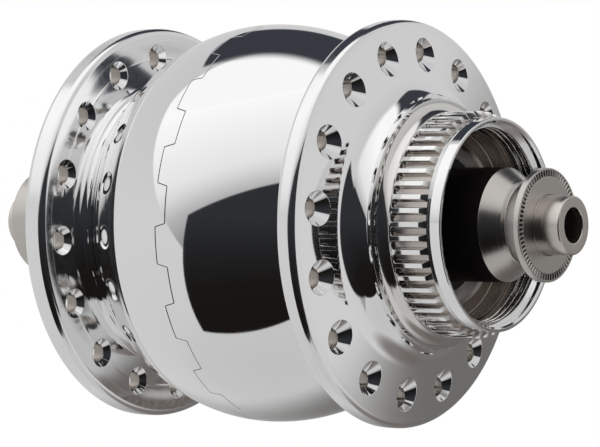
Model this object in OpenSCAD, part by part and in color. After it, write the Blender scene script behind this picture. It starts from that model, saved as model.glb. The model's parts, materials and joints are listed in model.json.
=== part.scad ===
// Bicycle front hub with a claw-pole dynamo and a splined brake-rotor boss.
// The hub axis is Y, with the brake side at +Y, and Z is up. The origin lies on the axis,
// midway between the two serrated faces that the fork grips. Angles are measured about
// the axis from +Z towards +X.

/* [Shell] */
// From the spoke circle to the edge of both flanges
flange_edge = 4.9; // [4.2:0.1:5.6]
// Thickness of a spoke flange
flange_t = 4; // [3.4:0.1:5]
// Outer face of the brake-side flange at the spoke holes, from the hub centre
flange_right = 25.8; // [25.2:0.1:26.6]
// Lean of that face towards the rim, about the middle of the spoke holes, in degrees
flange_dish = 9; // [6:0.5:10]
// Outer face of the connector-side flange, from the hub centre
flange_left = 27.4; // [26.6:0.1:28.4]
// Rounding of a flange's outer edge
rim_round_out = 1.1; // [0.8:0.1:1.6]
// Rounding of a flange's inner edge
rim_round_in = 1; // [0.5:0.1:1.4]
// Diameter of the ball-shaped barrel
barrel_d = 63.8; // [60:0.2:68]
// Thickness of the ball over the joint's spigot, at its widest place
barrel_cover = 2.28; // [2:0.02:2.6]
// Middle of the ball and of the generator, from the hub centre
barrel_y = -0.3; // [-0.8:0.1:0.2]
// Wall of the ball beside the generator
barrel_wall = 2.8; // [2.6:0.1:3]
// Hollow that blends the ball into the brake-side flange
barrel_fillet = 1.2; // [0.8:0.1:1.5]
// Radius of the ball's outline towards the connector
barrel_left_r = 27.5; // [26.5:0.1:31]
// Hollow that blends the ball into the connector-side flange
barrel_fillet_left = 1.3; // [1:0.1:1.6]
// Angle at which the shell stands at rest
rest_turn = 6.2; // [0:0.1:22.5]

/* [Shell joint] */
// Teeth around the castellated joint line of the two shell halves
seam_n = 16; // [8:1:24]
// Middle of the joint line, from the hub centre
seam_y = 0.15; // [-0.6:0.05:0.8]
// Axial step of the joint line
seam_step = 1.85; // [1.2:0.05:2.2]
// Share of the pitch that a tooth fills at its tip
seam_tip = 0.459; // [0.35:0.001:0.48]
// Wall of the spigot that centres the two halves
spigot_t = 2.2; // [1.6:0.1:2.6]
// Reach of the spigot past the joint line
spigot_len = 3.4; // [2.8:0.1:4.5]
// Thickness of the sealing ring in the joint
ring_t = 0.9; // [0.6:0.1:1.1]

/* [Spokes] */
// Spoke holes in each flange
spoke_n = 16; // [12:2:18]
// From the foot of the ball's blend to the middle of the spoke holes
spoke_clear = 1.333; // [1.1:0.001:1.8]
// Diameter of a spoke hole
spoke_d = 2.8; // [2.4:0.1:3]
// Countersink on a flange's outer face
spoke_sink_out = 5.2; // [4.4:0.1:5.6]
// Countersink on a flange's inner face
spoke_sink_in = 4.6; // [4:0.1:5]

/* [Brake boss] */
// Width of the ring that the brake rotor seats against
seat_w = 2.35; // [2:0.05:2.8]
// Place of that seat, from the hub centre
seat_y = 30.6; // [30.2:0.1:31.2]
// Hollow that blends the seat ring into the flange
seat_fillet = 4; // [3:0.1:4.1]
// Width of the plain band between seat and splines
relief_w = 1.9; // [1.2:0.1:2.4]
// Depth of that plain band below the teeth
relief_depth = 0.4; // [0.2:0.05:0.6]
// Hollow between the rotor seat and the splines
relief_fillet = 1.8; // [0.6:0.1:1.85]
// Number of spline teeth
spline_n = 52; // [40:1:56]
// Depth of the spline grooves
spline_depth = 0.9; // [0.7:0.05:1.1]
// Height of the bottom of those grooves over the end collar
spline_step = 0.1; // [0.05:0.05:0.3]
// Length of the spline teeth
spline_len = 6.2; // [5.4:0.1:7]
// Width of the groove between the teeth and the end collar
undercut_w = 0.5; // [0.3:0.1:0.8]
// Wall between that groove and the thread
undercut_wall = 0.65; // [0.5:0.05:0.8]
// Depth of that groove below the end collar
undercut_depth = 0.35; // [0.2:0.05:0.5]
// Length of the end collar
collar_len = 1.9; // [1.7:0.1:2.4]
// Clearance of the plain counterbore at the mouth round the thread
mouth_gap = 0.2; // [0.1:0.05:0.3]
// Depth of the counterbore
mouth_depth = 1.5; // [1.2:0.1:1.8]
// Outer diameter of the lockring thread
thread_d = 31; // [29:0.1:33]
// Depth of the thread's grooves
thread_depth = 0.5; // [0.4:0.05:0.6]
// Pitch of the lockring thread
thread_pitch = 1; // [0.8:0.1:1.2]
// Turns of the lockring thread
thread_turns = 3; // [2:1:3]
// Step from the thread's crests down to the smooth bore below
bore_step = 0.2; // [0.1:0.05:0.4]

/* [Connector-side boss] */
// Diameter of the boss outside the connector-side flange
left_boss_d = 32; // [30:0.5:33]

/* [Bearings] */
// Bore of both ball bearings
brg_bore = 10; // [9.8:0.1:10.4]
// Outer diameter of both ball bearings
brg_d = 26; // [25.6:0.1:26.4]
// Width of both ball bearings
brg_w = 8; // [7.8:0.1:8.6]
// Outer face of the brake-side bearing, from the hub centre
brg_right = 31.2; // [30.8:0.1:31.4]
// Outer face of the connector-side bearing, from the hub centre
brg_left = 32.8; // [32.4:0.1:33.2]
// Diameter of a bearing ball
ball_d = 4.7; // [4.3:0.1:4.8]
// Balls in each bearing
ball_n = 7; // [5:1:8]
// Running clearance of balls, cages and seal lips
run_gap = 0.08; // [0.04:0.01:0.1]
// Opening inside the shoulder that holds each bearing
shoulder_bore = 24.4; // [23.6:0.1:24.8]
// Free space that the wave spring fills
spring_gap = 0.9; // [0.7:0.1:1.1]
// Thickness of the wave spring
spring_t = 0.3; // [0.2:0.05:0.4]

/* [Axle] */
// Distance between the two serrated fork faces
fork_width = 100; // [99:0.2:102]
// Diameter of the axle ends that stand in the fork slots
stub_d = 9; // [8.6:0.1:9.4]
// Length of each axle end past its fork face
stub_len = 4.4; // [3.6:0.1:5.5]
// Through bore for the quick-release skewer
skewer_bore = 5.4; // [5:0.1:5.6]
// Diameter of the axle inside the generator
core_axle_d = 14; // [13.4:0.1:14.4]

/* [Axle ends] */
// Diameter of the serrated fork faces
cap_d = 17.4; // [17:0.1:18]
// Length of each end cap, up to its fork face
cap_len = 7.3; // [7:0.1:8.2]
// Thickness of an end cap in front of the axle tube
cap_floor = 3; // [2:0.1:4]
// Diameter of the wide end of the cone on the brake side
cone_d = 17.8; // [17.2:0.1:18.4]
// Length of that cone
cone_len = 2.8; // [2.4:0.1:3.2]
// Diameter of its narrow end
cone_tip_d = 13.3; // [12.8:0.1:13.8]
// Diameter of the neck behind the brake-side fork face
cap_neck_d = 12.4; // [12:0.1:12.7]
// Width of the brake-side disc at its edge
disc_edge = 1; // [0.6:0.1:1.2]
// Serrations on each fork face
serration_n = 72; // [48:4:84]
// Depth of the serrations
serration_depth = 0.25; // [0.15:0.05:0.35]
// Diameter of the dark sleeve beside the brake-side bearing
sleeve_d = 17.6; // [17:0.1:18.2]

/* [Generator] */
// Width over the two claw plates
stator_w = 16; // [15.2:0.2:16.4]
// Thickness of a claw plate
plate_t = 1.5; // [1.2:0.1:1.8]
// Thickness of a claw
claw_t = 1.6; // [1.3:0.1:1.8]
// Claws on each plate, which is half the number of poles
pole_pairs = 13; // [9:1:15]
// Air gap between the claws and the magnets
air_gap = 0.4; // [0.3:0.05:0.6]
// Thickness of the magnets
magnet_t = 1.6; // [1.4:0.1:1.8]
// Thickness of the iron ring behind the magnets
flux_t = 1.4; // [1.2:0.1:1.6]
// Diameter of the iron core inside the coil
core_d = 19; // [18:0.2:20]
// Gap between the claws and the bobbin's side walls
bobbin_gap = 0.9; // [0.7:0.05:1.4]
// Wall of the bobbin
bobbin_t = 0.9; // [0.7:0.1:1.2]
// Depth of the copper winding below the edge of those walls
winding_inset = 1; // [0.6:0.1:1.6]
// Diameter of the two stator nuts
nut_d = 20.4; // [19.4:0.2:20.8]
// Thickness of the two stator nuts
nut_t = 3; // [2.4:0.1:3.4]
// Width of the key that stops the stator from turning
key_w = 3; // [2.6:0.1:3.2]

/* [Connector] */
// Diameter of the connector's ring around the axle
plug_ring_d = 18; // [17:0.1:18.6]
// Reach of the plug shroud from the hub axis
plug_reach = 16; // [15:0.1:17]
// Height of the plug shroud
plug_w = 12; // [11.6:0.1:13]
// Wall of the plug shroud
plug_wall = 1.1; // [0.9:0.1:1.2]
// Width of a spade terminal
spade_w = 2.8; // [2.6:0.1:3]
// Thickness of a spade terminal
spade_t = 0.5; // [0.4:0.1:0.8]
// Distance between the middles of the two terminals
spade_pitch = 5; // [4.8:0.1:5.4]
// Diameter of a lead wire
wire_d = 1; // [0.8:0.05:1.05]

/* [Hidden] */
$fn = 96;

aluminium = "gainsboro";
steel = "darkgray";
stainless = "silver";
black = "dimgray";
copper = "peru";

// Places along the axis
fork_y = fork_width / 2;
tip_y = fork_y + stub_len;
spline_y0 = seat_y + relief_w;
spline_y1 = spline_y0 + spline_len;
collar_y = spline_y1 + undercut_w;
mouth_y = collar_y + collar_len;
thread_y1 = mouth_y - mouth_depth;
thread_y0 = thread_y1 - thread_turns * thread_pitch;
relief_pitches = 1.3;
shoulder_t = 1.4;
boss_floor = brg_right + shoulder_t;
left_lip_t = 0.7;
left_blend = 2;
left_boss_y = brg_left + spring_gap + left_lip_t;
race_in_right = brg_right - brg_w;
race_in_left = brg_left - brg_w;
shell_web = 4.2;
gen_y = barrel_y;

// Fits and clearances
rim_bore_gap = 0.02;
end_gap = 0.5;
dust_gap = 0.5;
over = 1;

// Middle of the blends that touch both the ball and a flange, from the ball's middle
blend_y = flange_right - flange_t - barrel_fillet - barrel_y;
blend_r = sqrt(pow(barrel_d / 2 + barrel_fillet, 2) - pow(blend_y, 2));
blend_left_y = flange_left - flange_t - barrel_fillet_left + barrel_y;
barrel_left_c = barrel_d / 2 - barrel_left_r;
blend_left_r = barrel_left_c
    + sqrt(pow(barrel_left_r + barrel_fillet_left, 2) - pow(blend_left_y, 2));

// Flanges, from the ball outwards
spoke_pcd = 2 * (blend_r + spoke_clear);
flange_d = spoke_pcd + 2 * flange_edge;

// Brake boss, from the thread outwards
thread_bore = thread_d - 2 * thread_depth;
boss_bore = thread_bore - 2 * bore_step;
mouth_bore = thread_d + 2 * mouth_gap;
undercut_d = thread_d + 2 * undercut_wall;
collar_d = undercut_d + 2 * undercut_depth;
spline_root_d = collar_d + 2 * spline_step;
spline_d = spline_root_d + 2 * spline_depth;
relief_d = spline_d - 2 * relief_depth;
seat_d = relief_d + 2 * seat_w;
// Largest hollow that fits between the seat and the leaning flange face
seat_room = ((seat_y - 0.1 - flange_right) * cos(flange_dish)
    + (seat_d - spoke_pcd) / 2 * sin(flange_dish)) / (1 - sin(flange_dish));

// Bearing
ball_r = ball_d / 2;
pitch_r = (brg_bore + brg_d) / 4;
land = 0.72;
inner_land_r = pitch_r - ball_r * land;
outer_land_r = pitch_r + ball_r * land;
seal_t = 0.6;
seal_inset = 0.3;
race_step = 0.2;
cage_gap = 0.25;

// Generator, from the ball inwards
spigot_r = barrel_d / 2 - barrel_cover;
cavity_r = spigot_r - spigot_t;
flux_r1 = cavity_r - rim_bore_gap;
magnet_r1 = flux_r1 - flux_t;
magnet_r0 = magnet_r1 - magnet_t;
stator_d = 2 * (magnet_r0 - air_gap);
bobbin_d = stator_d - 2 * (claw_t + bobbin_gap);
winding_d = bobbin_d - 2 * winding_inset;
cavity_w = stator_w + 2 * end_gap + 0.4;
flux_w = stator_w + 2 * end_gap;
seam_lo = seam_y - seam_step / 2;
seam_hi = seam_y + seam_step / 2;
spigot_y = seam_hi + spigot_len;
ring_y = seam_hi + spigot_len / 2;
coil_w = stator_w - 2 * plate_t;
claw_gap = 0.8;
claw_notch = 1;
claw_share = 0.36;
claw_taper = 0.6;

// Axle ends
stub_chamfer = 0.2;
cap_y = fork_y - cap_len;
dust_cap_t = 0.8;
left_sleeve_end = left_boss_y + dust_gap;
plug_y0 = left_sleeve_end + dust_cap_t;
serration_r0 = cap_d / 2 - 1.3;
serration_r1 = cap_d / 2 - 0.4;
serration_w = 0.42;

// Wire slot in the axle, on the side that faces -X
slot_floor = skewer_bore / 2 + 1.1;
slot_w = 2 * wire_d + 0.4;
wire_apart = 0.1;
wire_gap = 0.03;
wire_r = slot_floor + wire_d / 2 + wire_gap;
wire_z = wire_d / 2 + wire_apart;
wire_out_r = nut_d / 2 + wire_d / 2 + 0.4;
wire_drop_y = gen_y - stator_w / 2 - nut_t - 1.2;
spade_x = plug_ring_d / 2 + 0.4;
plug_mid = (plug_y0 + cap_y) / 2;
spade_len = plug_reach - spade_x - 1;

// Points of an arc around [x, y], from angle a0 to angle a1
function arc(x, y, r, a0, a1, n = 8) =
    [for (i = [0:n]) let (a = a0 + (a1 - a0) * i / n) [x + r * cos(a), y + r * sin(a)]];

// Turns [radius, y] outlines about the hub axis
module turned() {
    rotate([-90, 0, 0]) rotate_extrude() children();
}

// Lays children that were drawn around Z along the hub axis, starting at y, turned by phi
module along(y, phi = 90) {
    translate([0, y, 0]) rotate([0, phi - 90, 0]) rotate([-90, 0, 0]) children();
}

module tube(y0, y1, r1, r0) {
    along(y0) difference() {
        cylinder(h = y1 - y0, r = r1);
        translate([0, 0, -over]) cylinder(h = y1 - y0 + 2 * over, r = r0);
    }
}

module rod(y0, y1, r) {
    along(y0) cylinder(h = y1 - y0, r = r);
}

// Outline of a flange and of the boss beyond it up to y_end. The outer face leans by dish
// about the middle of the spoke holes.
function flange_outline(outer, dish, boss_r, blend, y_end) =
    let (inner = outer - flange_t, fr = flange_d / 2,
        rim_r = fr - rim_round_out, hollow_r = boss_r + blend,
        rim_y = outer - (rim_round_out + (rim_r - spoke_pcd / 2) * sin(dish)) / cos(dish),
        hollow_y = outer + (blend - (hollow_r - spoke_pcd / 2) * sin(dish)) / cos(dish))
    concat([[0, inner]],
        arc(fr - rim_round_in, inner + rim_round_in, rim_round_in, -90, 0),
        arc(rim_r, rim_y, rim_round_out, 0, 90 - dish),
        arc(hollow_r, hollow_y, blend, 270 - dish, 180),
        [[boss_r, y_end], [0, y_end]]);

// Outline of one spline tooth, repeated around the boss
function spline_outline() =
    let (rr = spline_root_d / 2, rc = spline_d / 2, p = 360 / spline_n)
    [for (i = [0:spline_n - 1], k = [[rr, -0.29], [rc, -0.18], [rc, 0.18], [rr, 0.29]])
        [k[0] * cos((i + k[1]) * p), k[0] * sin((i + k[1]) * p)]];

module spline_teeth() {
    rr = spline_root_d / 2;
    rc = spline_d / 2;
    rise = 0.35;
    fall = 0.8;
    intersection() {
        along(spline_y0) linear_extrude(spline_len) polygon(spline_outline());
        turned() polygon([
            [0, spline_y0], [rr, spline_y0], [relief_d / 2, spline_y0], [rc, spline_y0 + rise],
            [rc, spline_y1 - fall], [rr, spline_y1], [0, spline_y1]]);
    }
}

// Everything of the brake boss outside the seat ring
module brake_boss() {
    chamfer = 0.2;
    hollow = min(relief_fillet, relief_w - 0.05, seat_w - 0.1);
    hollow_r = relief_d / 2 + hollow;
    turned() polygon(concat(
        [[0, seat_y - over], [hollow_r, seat_y - over]],
        arc(hollow_r, seat_y + hollow, hollow, 270, 180),
        [[relief_d / 2, spline_y0], [spline_root_d / 2, spline_y0], [spline_root_d / 2, spline_y1],
        [undercut_d / 2, spline_y1], [undercut_d / 2, collar_y], [collar_d / 2, collar_y],
        [collar_d / 2, mouth_y - chamfer], [collar_d / 2 - chamfer, mouth_y], [0, mouth_y]]));
    spline_teeth();
}

// Ball that blends into both flanges
module barrel() {
    r = barrel_d / 2;
    left = asin(blend_left_y / (barrel_left_r + barrel_fillet_left));
    right = asin(blend_y / (r + barrel_fillet));
    end_left = -blend_left_y - barrel_fillet_left;
    end_right = blend_y + barrel_fillet;
    translate([0, barrel_y, 0]) turned() polygon(concat(
        [[0, end_left - over], [blend_left_r, end_left - over]],
        arc(blend_left_r, -blend_left_y, barrel_fillet_left, 270, 180 - left),
        arc(barrel_left_c, 0, barrel_left_r, -left, -1, 24), arc(0, 0, r, 0, right, 24),
        arc(blend_r, blend_y, barrel_fillet, 180 + right, 90),
        [[blend_r, end_right + over], [0, end_right + over]]));
}

// One spoke hole with a countersink on both faces of its flange
module spoke_hole(outer, side) {
    inner = outer - flange_t;
    sink_out = (spoke_sink_out - spoke_d) / 2;
    sink_in = (spoke_sink_in - spoke_d) / 2;
    lap = 0.1;
    lean = tan(side > 0 ? flange_dish : 0);
    rise = lap + spoke_sink_out / 2 * lean / (1 - lean);
    rotate([0, 0, side < 0 ? 180 : 0]) along(0) {
        translate([0, 0, inner - over]) cylinder(h = flange_t + 2 * over, d = spoke_d);
        translate([0, 0, outer - sink_out])
            cylinder(h = sink_out + rise, d1 = spoke_d, d2 = spoke_sink_out + 2 * rise);
        translate([0, 0, inner - lap])
            cylinder(h = sink_in + lap, d1 = spoke_sink_in + 2 * lap, d2 = spoke_d);
    }
}

module spoke_holes() {
    pitch = 360 / spoke_n;
    for (i = [0:spoke_n - 1]) {
        rotate([0, rest_turn + pitch * (i + 0.5), 0]) translate([0, 0, spoke_pcd / 2])
            spoke_hole(flange_right, 1);
        rotate([0, rest_turn + pitch * i, 0]) translate([0, 0, spoke_pcd / 2])
            spoke_hole(flange_left, -1);
    }
}

// Grooves of the lockring thread, and the relief groove below it
module lockring_thread() {
    root = 0.08 * thread_pitch;
    crest = 0.3 * thread_pitch;
    for (i = [0:thread_turns - 1]) {
        y = thread_y0 + (i + 0.5) * thread_pitch;
        turned() polygon([
            [0, y - crest], [thread_bore / 2, y - crest], [thread_d / 2, y - root],
            [thread_d / 2, y + root], [thread_bore / 2, y + crest], [0, y + crest]]);
    }
    rod(thread_y0 - relief_pitches * thread_pitch, thread_y0, thread_d / 2);
    rod(thread_y0, thread_y1 + over, thread_bore / 2);
}

module shell_hollow() {
    chamfer = 0.3;
    shoulder_bevel = 0.45;
    lap = 0.1;
    // Generator space, and the hollow of the ball on both sides of it
    rod(gen_y - cavity_w / 2, gen_y + cavity_w / 2, cavity_r);
    left_r = barrel_left_r - barrel_wall;
    right_r = barrel_d / 2 - barrel_wall;
    end_left = shell_web - race_in_left;
    end_right = race_in_right - shell_web;
    turned() polygon(concat([[0, end_left]],
        arc(barrel_left_c, barrel_y, left_r, asin((end_left - barrel_y) / left_r),
            -acos((cavity_r - barrel_left_c) / left_r)),
        arc(0, barrel_y, right_r, acos(cavity_r / right_r), asin((end_right - barrel_y) / right_r)),
        [[0, end_right]]));
    // Bearing seats, each with a shoulder at its outer end
    rod(0, brg_right, brg_d / 2);
    rod(-brg_left - spring_gap, 0, brg_d / 2);
    rod(0, boss_floor + over, shoulder_bore / 2);
    rod(-left_boss_y - over, 0, shoulder_bore / 2);
    along(boss_floor - shoulder_bevel) cylinder(h = shoulder_bevel + lap,
        r1 = shoulder_bore / 2, r2 = shoulder_bore / 2 + 2 * (shoulder_bevel + lap));
    // Boss bore, thread and mouth
    rod(boss_floor, mouth_y + over, boss_bore / 2);
    lockring_thread();
    rod(thread_y1, mouth_y + over, mouth_bore / 2);
    along(mouth_y - chamfer) cylinder(h = 2 * chamfer, r1 = mouth_bore / 2, r2 = mouth_bore / 2 + 2 * chamfer);
}

module whole_shell() {
    difference() {
        union() {
            barrel();
            turned() polygon(flange_outline(flange_right, flange_dish, seat_d / 2,
                min(seat_fillet, seat_room), seat_y));
            rotate([0, 0, 180]) turned()
                polygon(flange_outline(flange_left, 0, left_boss_d / 2, left_blend, left_boss_y));
            brake_boss();
        }
        shell_hollow();
        spoke_holes();
    }
}

// The space that belongs to the connector-side half: its teeth reach over the joint line
// between the brake-side half's teeth, and its spigot runs inside that half
module left_half_space() {
    pitch = 360 / seam_n;
    reach = barrel_d / 2 + 3;
    tip = barrel_d * PI / seam_n * seam_tip / 2;
    root = barrel_d * PI / seam_n * (1 - seam_tip) / 2;
    lap = 0.5;
    rod(-tip_y, seam_lo, reach + spigot_r);
    rod(seam_lo - lap, spigot_y, spigot_r);
    intersection() {
        tube(seam_lo - lap, seam_hi, reach, spigot_r - lap);
        for (i = [0:seam_n - 1])
            rotate([0, rest_turn + pitch * (i + 0.5), 0])
                linear_extrude(reach) polygon([
                    [-root, seam_lo - lap], [root, seam_lo - lap], [root, seam_lo],
                    [tip, seam_hi], [-tip, seam_hi], [-root, seam_lo]]);
    }
}

module left_shell() {
    color(aluminium) difference() {
        intersection() {
            whole_shell();
            left_half_space();
        }
        tube(ring_y - ring_t / 2, ring_y + ring_t / 2, spigot_r + over, spigot_r - ring_t);
    }
}

module right_shell() {
    color(aluminium) difference() {
        whole_shell();
        left_half_space();
    }
}

module shell_joint_ring() {
    color(black) turned() translate([spigot_r - ring_t / 2, ring_y]) circle(d = ring_t, $fn = 24);
}

module flux_ring() {
    color(steel) tube(gen_y - flux_w / 2, gen_y + flux_w / 2, flux_r1, magnet_r1);
}

module rotor_magnets() {
    pitch = 180 / pole_pairs;
    split = 0.5;
    color(steel) difference() {
        tube(gen_y - stator_w / 2, gen_y + stator_w / 2, magnet_r1, magnet_r0);
        for (i = [0:2 * pole_pairs - 1])
            rotate([0, rest_turn + i * pitch, 0])
                translate([-split / 2, gen_y - stator_w / 2 - over, magnet_r0 - over])
                    cube([split, stator_w + 2 * over, magnet_t + 2 * over]);
    }
}

module bearing_ring(mid, r0, r1) {
    along(mid) rotate_extrude() difference() {
        translate([r0, -brg_w / 2]) square([r1 - r0, brg_w]);
        translate([pitch_r, 0]) circle(r = ball_r + run_gap, $fn = 48);
    }
}

module bearing_seals(mid) {
    for (side = [-1, 1]) {
        y = mid + side * (brg_w / 2 - seal_inset - seal_t / 2);
        tube(y - seal_t / 2, y + seal_t / 2, outer_land_r, inner_land_r + run_gap);
    }
}

module bearing_cage(mid) {
    half = brg_w / 2 - seal_inset - seal_t - cage_gap;
    color(black) difference() {
        tube(mid - half, mid + half, outer_land_r - 2 * cage_gap, inner_land_r + run_gap);
        ball_set(mid, ball_r + run_gap);
    }
}

module ball_set(mid, r) {
    for (i = [0:ball_n - 1])
        rotate([0, i * 360 / ball_n, 0]) translate([0, mid, pitch_r]) sphere(r = r, $fn = 48);
}

right_mid = brg_right - brg_w / 2;
left_mid = brg_w / 2 - brg_left;

module left_inner_race() { color(steel) bearing_ring(left_mid, brg_bore / 2, inner_land_r); }
module right_inner_race() { color(steel) bearing_ring(right_mid, brg_bore / 2, inner_land_r); }
module left_outer_race() { color(steel) bearing_ring(left_mid, outer_land_r, brg_d / 2); }
module right_outer_race() { color(steel) bearing_ring(right_mid, outer_land_r, brg_d / 2); }
module left_bearing_seals() { color(black) bearing_seals(left_mid); }
module right_bearing_seals() { color(black) bearing_seals(right_mid); }
module left_bearing_cage() { bearing_cage(left_mid); }
module right_bearing_cage() { bearing_cage(right_mid); }
module left_bearing_balls() { color(stainless) ball_set(left_mid, ball_r); }
module right_bearing_balls() { color(stainless) ball_set(right_mid, ball_r); }

// Washer with three waves that pushes on the connector-side bearing
module preload_wave_spring() {
    n = 48;
    waves = 3;
    slack = 0.02;
    inset = 0.3;
    r0 = outer_land_r + inset;
    r1 = brg_d / 2 - inset;
    swing = (spring_gap - spring_t) / 2 - slack;
    mid = -brg_left - spring_gap / 2;
    rings = [for (i = [0:n - 1])
        let (a = 360 * i / n, y = mid + swing * cos(waves * a))
        for (k = [[r0, -1], [r1, -1], [r1, 1], [r0, 1]])
            [k[0] * sin(a), y + k[1] * spring_t / 2, k[0] * cos(a)]];
    sides = [for (i = [0:n - 1], k = [0:3], t = [0, 1])
        let (a = 4 * i + k, b = 4 * i + (k + 1) % 4,
             c = (4 * (i + 1) + (k + 1) % 4) % (4 * n), d = (4 * (i + 1) + k) % (4 * n))
        t == 0 ? [a, c, b] : [a, d, c]];
    color(stainless) polyhedron(rings, sides);
}

// Hollow axle with a thick middle and the slot for the lead wires
module axle() {
    color(stainless) difference() {
        union() {
            rod(-race_in_left, race_in_right, core_axle_d / 2);
            rod(cap_floor - fork_y, fork_y - cap_floor, brg_bore / 2);
        }
        rod(-tip_y - over, tip_y + over, skewer_bore / 2);
        translate([-core_axle_d, -plug_mid - slot_w, -slot_w / 2])
            cube([core_axle_d - slot_floor, plug_mid + slot_w + wire_drop_y + wire_d, slot_w]);
        key_block(0);
    }
}

// Key on the side of the axle that faces +X, sunk half into the axle
module key_block(longer) {
    depth = key_w / 2;
    translate([core_axle_d / 2 - depth, gen_y - stator_w / 2 - longer, -key_w / 2])
        cube([2 * depth, stator_w + 2 * longer, key_w]);
}

module stator_key() {
    color(steel) key_block(0);
}

module stator_core() {
    color(steel) difference() {
        tube(gen_y - coil_w / 2, gen_y + coil_w / 2, core_d / 2, core_axle_d / 2);
        key_block(over);
    }
}

// Plate at the connector side with claws that reach across the coil between those of the other
// plate, and a keyway at the angle turn
module claw_pole(turn) {
    outer = stator_w / 2;
    tip = outer - plate_t - claw_gap;
    r0 = core_axle_d / 2;
    r1 = stator_d / 2;
    claw_r = r1 - claw_t;
    mean = r1 - claw_t / 2;
    pitch = 360 / pole_pairs;
    root_gap = mean * sin(pitch / 2 * (1 - claw_share));
    tip_gap = mean * sin(pitch / 2 * (1 - claw_share * claw_taper));
    difference() {
        turned() polygon([
            [r0, -outer], [r1, -outer], [r1, tip], [claw_r, tip],
            [claw_r, plate_t - outer], [r0, plate_t - outer]]);
        for (i = [0:pole_pairs - 1])
            rotate([0, (i + 0.5) * pitch, 0]) translate([0, 0, claw_r - claw_notch])
                linear_extrude(claw_notch + claw_t + over) polygon([
                    [-root_gap, -outer - over], [root_gap, -outer - over],
                    [tip_gap, tip + over], [-tip_gap, tip + over]]);
        rotate([0, turn, 0]) translate([0, -gen_y, 0]) key_block(over);
    }
}

module left_claw_pole() {
    color(steel) translate([0, gen_y, 0]) difference() {
        claw_pole(0);
        // Holes that let the two leads through the plate
        for (z = [-wire_z, wire_z])
            translate([-wire_out_r, -stator_w / 2, z]) along(-over)
                cylinder(h = plate_t + 2 * over, d = wire_d + 2 * wire_gap, $fn = 24);
    }
}

module right_claw_pole() {
    // Turned end for end, and by half a pitch so that its claws stand between the others
    half_pitch = 180 / pole_pairs;
    color(steel) translate([0, gen_y, 0]) rotate([0, half_pitch, 0]) rotate([0, 0, 180])
        claw_pole(180 + half_pitch);
}

module coil_bobbin() {
    color("ivory") translate([0, gen_y, 0]) {
        tube(-coil_w / 2, coil_w / 2, core_d / 2 + bobbin_t, core_d / 2);
        for (y = [-coil_w / 2, coil_w / 2 - bobbin_t])
            tube(y, y + bobbin_t, bobbin_d / 2, core_d / 2);
    }
}

module coil_winding() {
    color(copper) tube(gen_y - coil_w / 2 + bobbin_t, gen_y + coil_w / 2 - bobbin_t,
        winding_d / 2, core_d / 2 + bobbin_t);
}

module stator_nut(y0) {
    flat_gap = 2.2;
    color(stainless) difference() {
        tube(y0, y0 + nut_t, nut_d / 2, core_axle_d / 2);
        // Four slots for a spanner
        for (a = [45:90:315])
            rotate([0, a, 0]) translate([-flat_gap / 2, y0 - over, nut_d / 2 - 1])
                cube([flat_gap, nut_t + 2 * over, 2]);
    }
}

module left_stator_nut() { stator_nut(gen_y - stator_w / 2 - nut_t); }
module right_stator_nut() { stator_nut(gen_y + stator_w / 2); }

// A wire along a list of places, with round corners
module wire_run(places) {
    for (i = [0:len(places) - 2]) {
        v = places[i + 1] - places[i];
        translate(places[i]) rotate([0, acos(v[2] / norm(v)), atan2(v[1], v[0])])
            cylinder(h = norm(v), d = wire_d, $fn = 24);
    }
    for (i = [1:len(places) - 2]) translate(places[i]) sphere(d = wire_d, $fn = 24);
}

module lead_wires() {
    coil_y = gen_y - coil_w / 2;
    color("firebrick") for (z = [-wire_z, wire_z])
        wire_run([
            [-wire_out_r, coil_y, z], [-wire_out_r, wire_drop_y, z], [-wire_r, wire_drop_y, z],
            [-wire_r, -plug_mid, z], [-spade_x, -plug_mid, z]]);
}

module left_spacer_sleeve() {
    color(black) tube(-left_sleeve_end, -brg_left, inner_land_r - race_step, brg_bore / 2);
}

module left_dust_cap() {
    color(stainless) tube(-plug_y0, -left_sleeve_end, left_boss_d / 2 - 0.6, brg_bore / 2);
}

// Plastic ring around the axle, with a shroud for the plug on the side that faces -X
module connector_housing() {
    inside = plug_w - 2 * plug_wall;
    depth = cap_y - plug_y0;
    color(black) difference() {
        union() {
            tube(-cap_y, -plug_y0, plug_ring_d / 2, brg_bore / 2);
            translate([-plug_reach, -cap_y, -plug_w / 2])
                cube([plug_reach - brg_bore / 2 - 1, depth, plug_w]);
        }
        rod(-cap_y - over, -plug_y0 + over, brg_bore / 2);
        translate([-plug_reach - over, plug_wall - cap_y, -inside / 2])
            cube([plug_reach + over - spade_x, depth - 2 * plug_wall, inside]);
        translate([-spade_x - over, -plug_mid - wire_d / 2, -slot_w / 2])
            cube([spade_x + over, wire_d, slot_w]);
    }
}

module connector_terminals() {
    foot_t = 0.4;
    foot_gap = 0.1;
    color("goldenrod") for (side = [-1, 1]) {
        z = side * spade_pitch / 2;
        translate([-spade_x - spade_len, -plug_mid - spade_t / 2, z - spade_w / 2])
            cube([spade_len, spade_t, spade_w]);
        translate([-spade_x - foot_t, -plug_mid - wire_d / 2, min(z, side * foot_gap)])
            cube([foot_t, wire_d, spade_pitch / 2 - foot_gap]);
    }
}

// Ring of radial serrations cut into a fork face that looks along +Z
module serrations() {
    translate([0, 0, -serration_depth]) linear_extrude(serration_depth + 0.2)
        for (i = [0:serration_n - 1])
            rotate(i * 360 / serration_n)
                translate([serration_r0, -serration_w / 2])
                    square([serration_r1 - serration_r0, serration_w]);
}

// End cap with the given outline up to its fork face, and the stub that stands in the fork
module end_cap(outline) {
    stub_r = stub_d / 2;
    color(stainless) difference() {
        turned() polygon(concat(outline, [
            [stub_r, fork_y], [stub_r, tip_y - stub_chamfer], [stub_r - stub_chamfer, tip_y],
            [0, tip_y]]));
        rod(0, fork_y - cap_floor, brg_bore / 2);
        rod(0, tip_y + over, skewer_bore / 2);
        along(fork_y) serrations();
    }
}

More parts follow.
